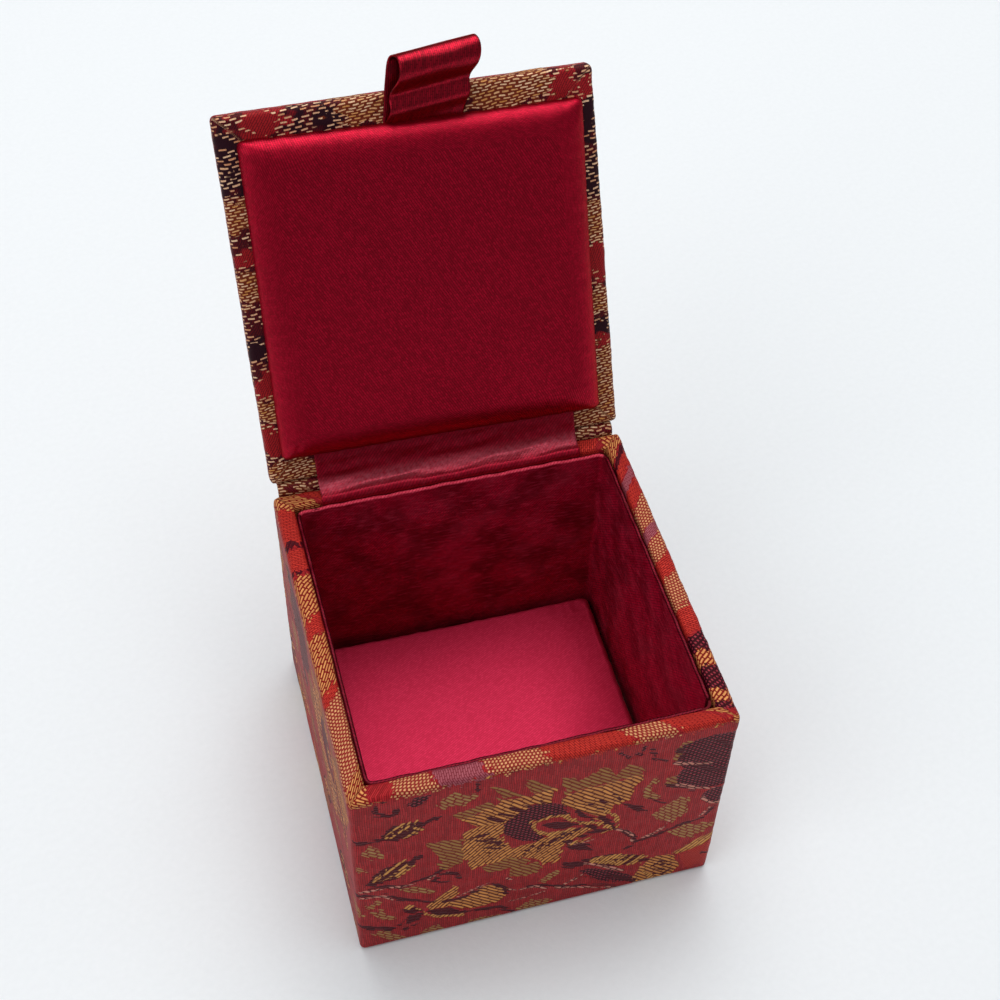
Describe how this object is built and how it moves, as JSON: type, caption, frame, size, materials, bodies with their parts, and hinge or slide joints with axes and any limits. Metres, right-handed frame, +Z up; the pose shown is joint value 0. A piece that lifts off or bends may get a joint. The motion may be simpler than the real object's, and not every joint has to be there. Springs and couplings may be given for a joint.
{
  "type": "brocade keepsake box",
  "caption": "Small square board box covered in silk brocade, with a cloth-hinged lid, a padded satin lining and a ribbon pull loop.",
  "frame": {"origin": "middle of the flat face that the box stands on", "axes": "+Z up, the front of the box faces -Y, +X is to the right seen from the front; the lid stands open at the back"},
  "size_m": [0.06, 0.0892, 0.1104],
  "materials": {
    "brocade": "red figured brocade with gold, purple and orange flowers",
    "crimson_satin": "crimson satin twill with a soft sheen",
    "wine_satin": "dark wine satin, dull and a little rubbed",
    "ribbon": "crimson ribbed ribbon",
    "grey_board": "grey bookbinding board",
    "thin_card": "thin card",
    "wadding": "soft wadding",
    "base_paper": "plain red paper"
  },
  "bodies": {
    "case": {"front_board": "grey_board", "back_board": "grey_board", "left_board": "grey_board", "right_board": "grey_board", "bottom_board": "grey_board", "case_brocade": "brocade", "base_sheet": "base_paper", "back_brocade": "brocade", "lining_card": "thin_card", "lining_satin": "wine_satin", "floor_card": "thin_card", "floor_foam": "wadding", "floor_satin": "crimson_satin", "hinge_brocade": "brocade", "hinge_lining": "crimson_satin"},
    "lid": {"lid_board": "grey_board", "lid_brocade": "brocade", "pad_card": "thin_card", "pad_foam": "wadding", "pad_satin": "crimson_satin", "ribbon_tab": "ribbon"}
  },
  "joints": [
    {"name": "lid_hinge", "type": "hinge", "parent": "case", "child": "lid", "pos_m": [0, 0.0306, 0.0475], "axis": [1, 0, 0], "range_deg": [0, 115.5], "deforming": ["hinge_brocade", "hinge_lining"]}
  ]
}
